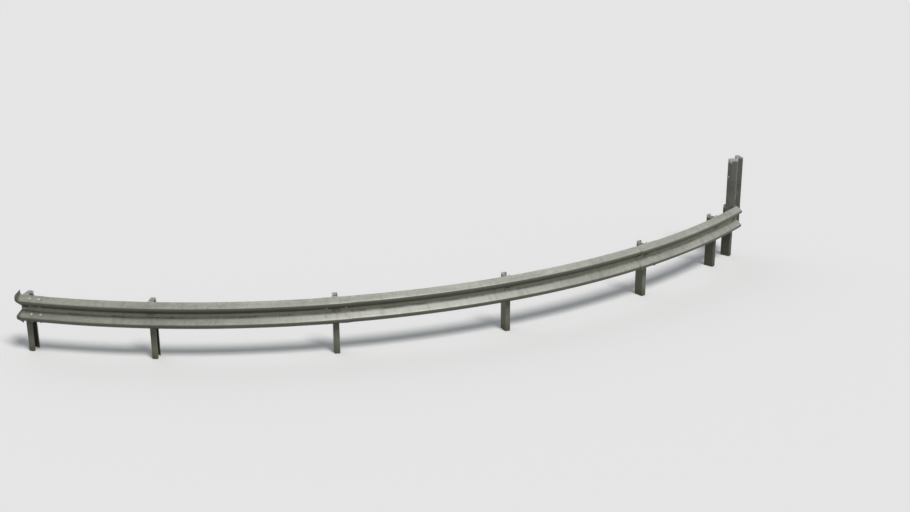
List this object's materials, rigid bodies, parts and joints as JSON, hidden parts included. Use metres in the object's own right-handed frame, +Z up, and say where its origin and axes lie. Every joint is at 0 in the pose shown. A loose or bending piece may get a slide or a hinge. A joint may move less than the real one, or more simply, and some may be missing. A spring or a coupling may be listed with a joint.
{
  "type": "road safety barrier",
  "caption": "Curved corrugated steel guardrail on lipped channel posts, with a turned-back end and an upright rail offcut at the other end.",
  "frame": {"origin": "foot of the middle post at ground level, in the middle of its front flange", "axes": "+X along the rail at the middle post, towards the end with the upright offcut; +Y towards the back, away from the traffic; +Z up"},
  "size_m": [9.0235, 2.0003, 1.33],
  "materials": {
    "rail_steel": "weathered galvanised",
    "post_steel": "weathered galvanised",
    "small_steel": "galvanised"
  },
  "bodies": {
    "root": {"rail_left": "rail_steel", "rail_centre": "rail_steel", "rail_right": "rail_steel", "end_piece": "rail_steel", "upright": "rail_steel", "packing": "small_steel", "post_1": "post_steel", "post_2": "post_steel", "post_3": "post_steel", "post_4": "post_steel", "post_5": "post_steel", "post_6": "post_steel", "post_7": "post_steel", "bracket_1": "small_steel", "bracket_2": "small_steel", "bracket_3": "small_steel", "bracket_4": "small_steel", "bracket_5": "small_steel", "bracket_6": "small_steel", "washer_1": "small_steel", "washer_2": "small_steel", "washer_3": "small_steel", "washer_4": "small_steel", "washer_5": "small_steel", "washer_6": "small_steel", "washer_7": "small_steel"}
  },
  "joints": []
}
